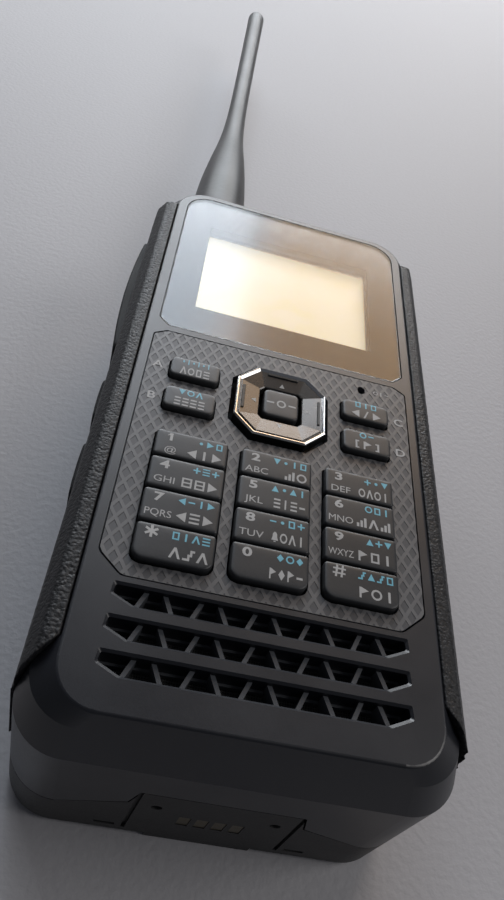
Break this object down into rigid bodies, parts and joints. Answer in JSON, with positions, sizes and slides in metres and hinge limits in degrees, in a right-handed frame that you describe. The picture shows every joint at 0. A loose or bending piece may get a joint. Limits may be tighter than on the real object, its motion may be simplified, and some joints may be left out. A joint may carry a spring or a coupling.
{
  "type": "two way radio",
  "caption": "Hand-held two way radio with a display, number keys, a direction pad, a slotted speaker grille, side buttons, coaxial top knobs and a whip antenna.",
  "frame": {"origin": "on the back face, at the middle of the body's length and width", "axes": "+Z out of the front face with the keys, +Y along the body towards the antenna, +X to the right seen from the front"},
  "size_m": [0.0616, 0.286, 0.0352],
  "materials": {
    "case_plastic": "satin",
    "rib_plastic": "satin",
    "grip_rubber": "leather grain",
    "chassis_metal": "cast",
    "back_plastic": "fine grain",
    "screw_steel": "plated",
    "lens_plastic": "gloss",
    "panel_glass": "backlit",
    "frame_plastic": "satin",
    "bezel_plastic": "diamond hatch",
    "key_plastic": "satin",
    "side_key_plastic": "satin",
    "pad_plastic": "metallic gloss",
    "pad_chrome": "polished",
    "enter_plastic": "satin",
    "membrane_rubber": "matte",
    "board_laminate": "solder mask",
    "shield_steel": "tinned",
    "capsule_metal": "plain",
    "switch_metal": "plain",
    "speaker_metal": "black",
    "speaker_cloth": "woven",
    "button_rubber": "matte",
    "cover_rubber": "matte",
    "socket_plastic": "moulded",
    "encoder_metal": "stamped",
    "shaft_steel": "turned",
    "knob_plastic": "satin",
    "jack_brass": "plated",
    "antenna_rubber": "satin",
    "lamp_plastic": "clear",
    "cell_foil": "foil",
    "contact_gold": "gold plated",
    "spring_gold": "gold plated"
  },
  "bodies": {
    "housing": {"front_case": "case_plastic", "grille_ribs": "rib_plastic", "side_grip_left": "grip_rubber", "side_grip_right": "grip_rubber", "rear_chassis": "chassis_metal", "rear_cover": "back_plastic", "case_screws": "screw_steel", "display_lens": "lens_plastic", "display_panel": "panel_glass", "inner_frame": "frame_plastic", "keypad_bezel": "bezel_plastic", "key_membrane": "membrane_rubber", "main_board": "board_laminate", "radio_shield": "shield_steel", "microphone": "capsule_metal", "side_switches": "switch_metal", "speaker": "speaker_metal", "speaker_cloth": "speaker_cloth", "audio_jacks": "socket_plastic", "port_block": "socket_plastic", "encoder_body": "encoder_metal", "antenna_jack": "jack_brass", "status_lamp": "lamp_plastic", "battery_springs": "spring_gold"},
    "key_1": {"key_1": "key_plastic"},
    "key_2": {"key_2": "key_plastic"},
    "key_3": {"key_3": "key_plastic"},
    "key_4": {"key_4": "key_plastic"},
    "key_5": {"key_5": "key_plastic"},
    "key_6": {"key_6": "key_plastic"},
    "key_7": {"key_7": "key_plastic"},
    "key_8": {"key_8": "key_plastic"},
    "key_9": {"key_9": "key_plastic"},
    "key_star": {"key_star": "key_plastic"},
    "key_0": {"key_0": "key_plastic"},
    "key_hash": {"key_hash": "key_plastic"},
    "key_a": {"key_a": "side_key_plastic"},
    "key_b": {"key_b": "side_key_plastic"},
    "key_c": {"key_c": "side_key_plastic"},
    "key_d": {"key_d": "side_key_plastic"},
    "enter_key": {"enter_key": "enter_plastic"},
    "pad_ring": {"pad_carrier": "frame_plastic"},
    "pad": {"direction_pad": "pad_plastic", "pad_rim": "pad_chrome"},
    "talk_button": {"talk_button": "button_rubber"},
    "power_button": {"power_button": "button_rubber"},
    "monitor_button": {"monitor_button": "button_rubber"},
    "jack_cover": {"jack_cover": "cover_rubber"},
    "port_cover": {"port_cover": "cover_rubber"},
    "volume_ring": {"volume_ring": "knob_plastic"},
    "encoder": {"encoder_shaft": "shaft_steel", "encoder_knob": "knob_plastic"},
    "antenna": {"antenna_whip": "antenna_rubber", "antenna_ferrule": "jack_brass"},
    "battery": {"battery_case": "back_plastic", "battery_lid": "back_plastic", "battery_terminals": "contact_gold", "charge_contacts": "contact_gold", "battery_cells": "cell_foil"},
    "release_latch": {"release_latch": "back_plastic"}
  },
  "joints": [
    {"name": "key_1_press", "type": "slide", "parent": "housing", "child": "key_1", "axis": [0, 0, -1], "range_m": [0, 0.0006], "stiffness_N_per_m": 2000},
    {"name": "key_2_press", "type": "slide", "parent": "housing", "child": "key_2", "axis": [0, 0, -1], "range_m": [0, 0.0006], "stiffness_N_per_m": 2000},
    {"name": "key_3_press", "type": "slide", "parent": "housing", "child": "key_3", "axis": [0, 0, -1], "range_m": [0, 0.0006], "stiffness_N_per_m": 2000},
    {"name": "key_4_press", "type": "slide", "parent": "housing", "child": "key_4", "axis": [0, 0, -1], "range_m": [0, 0.0006], "stiffness_N_per_m": 2000},
    {"name": "key_5_press", "type": "slide", "parent": "housing", "child": "key_5", "axis": [0, 0, -1], "range_m": [0, 0.0006], "stiffness_N_per_m": 2000},
    {"name": "key_6_press", "type": "slide", "parent": "housing", "child": "key_6", "axis": [0, 0, -1], "range_m": [0, 0.0006], "stiffness_N_per_m": 2000},
    {"name": "key_7_press", "type": "slide", "parent": "housing", "child": "key_7", "axis": [0, 0, -1], "range_m": [0, 0.0006], "stiffness_N_per_m": 2000},
    {"name": "key_8_press", "type": "slide", "parent": "housing", "child": "key_8", "axis": [0, 0, -1], "range_m": [0, 0.0006], "stiffness_N_per_m": 2000},
    {"name": "key_9_press", "type": "slide", "parent": "housing", "child": "key_9", "axis": [0, 0, -1], "range_m": [0, 0.0006], "stiffness_N_per_m": 2000},
    {"name": "key_star_press", "type": "slide", "parent": "housing", "child": "key_star", "axis": [0, 0, -1], "range_m": [0, 0.0006], "stiffness_N_per_m": 2000},
    {"name": "key_0_press", "type": "slide", "parent": "housing", "child": "key_0", "axis": [0, 0, -1], "range_m": [0, 0.0006], "stiffness_N_per_m": 2000},
    {"name": "key_hash_press", "type": "slide", "parent": "housing", "child": "key_hash", "axis": [0, 0, -1], "range_m": [0, 0.0006], "stiffness_N_per_m": 2000},
    {"name": "key_a_press", "type": "slide", "parent": "housing", "child": "key_a", "axis": [0, 0, -1], "range_m": [0, 0.0006], "stiffness_N_per_m": 2000},
    {"name": "key_b_press", "type": "slide", "parent": "housing", "child": "key_b", "axis": [0, 0, -1], "range_m": [0, 0.0006], "stiffness_N_per_m": 2000},
    {"name": "key_c_press", "type": "slide", "parent": "housing", "child": "key_c", "axis": [0, 0, -1], "range_m": [0, 0.0006], "stiffness_N_per_m": 2000},
    {"name": "key_d_press", "type": "slide", "parent": "housing", "child": "key_d", "axis": [0, 0, -1], "range_m": [0, 0.0006], "stiffness_N_per_m": 2000},
    {"name": "enter_key_press", "type": "slide", "parent": "housing", "child": "enter_key", "axis": [0, 0, -1], "range_m": [0, 0.0006], "stiffness_N_per_m": 2000},
    {"name": "pad_rock_up_down", "type": "hinge", "parent": "housing", "child": "pad_ring", "pos_m": [0, -0.0006, 0.02966], "axis": [1, 0, 0], "range_deg": [-3, 3], "stiffness_Nm_per_rad": 0.08},
    {"name": "pad_rock_left_right", "type": "hinge", "parent": "pad_ring", "child": "pad", "pos_m": [0, -0.0006, 0.03236], "axis": [0, 1, 0], "range_deg": [-3, 3], "stiffness_Nm_per_rad": 0.08},
    {"name": "talk_button_press", "type": "slide", "parent": "housing", "child": "talk_button", "axis": [1, 0, 0], "range_m": [0, 0.0008], "stiffness_N_per_m": 4000},
    {"name": "power_button_press", "type": "slide", "parent": "housing", "child": "power_button", "axis": [1, 0, 0], "range_m": [0, 0.0007], "stiffness_N_per_m": 3000},
    {"name": "monitor_button_press", "type": "slide", "parent": "housing", "child": "monitor_button", "axis": [1, 0, 0], "range_m": [0, 0.0007], "stiffness_N_per_m": 3000},
    {"name": "jack_cover_hinge", "type": "hinge", "parent": "housing", "child": "jack_cover", "pos_m": [0.0292, 0.035, 0.0129], "axis": [0, 1, 0], "range_deg": [0, 95]},
    {"name": "port_cover_hinge", "type": "hinge", "parent": "housing", "child": "port_cover", "pos_m": [0.0292, 0.001, 0.0129], "axis": [0, 1, 0], "range_deg": [0, 95]},
    {"name": "volume_turn", "type": "hinge", "parent": "housing", "child": "volume_ring", "pos_m": [0.014, 0.0625, 0.017], "axis": [0, 1, 0], "range_deg": [0, 270]},
    {"name": "encoder_turn", "type": "hinge", "parent": "housing", "child": "encoder", "pos_m": [0.014, 0.069, 0.017], "axis": [0, 1, 0], "continuous": true},
    {"name": "antenna_unscrew", "type": "hinge", "parent": "housing", "child": "antenna", "pos_m": [-0.016, 0.065, 0.017], "axis": [0, -1, 0], "continuous": true},
    {"name": "battery_lift_off", "type": "slide", "parent": "housing", "child": "battery", "axis": [0, 0, -1], "range_m": [0, 0.03]},
    {"name": "latch_slide", "type": "slide", "parent": "battery", "child": "release_latch", "axis": [0, 1, 0], "range_m": [0, 0.0024], "stiffness_N_per_m": 400}
  ]
}
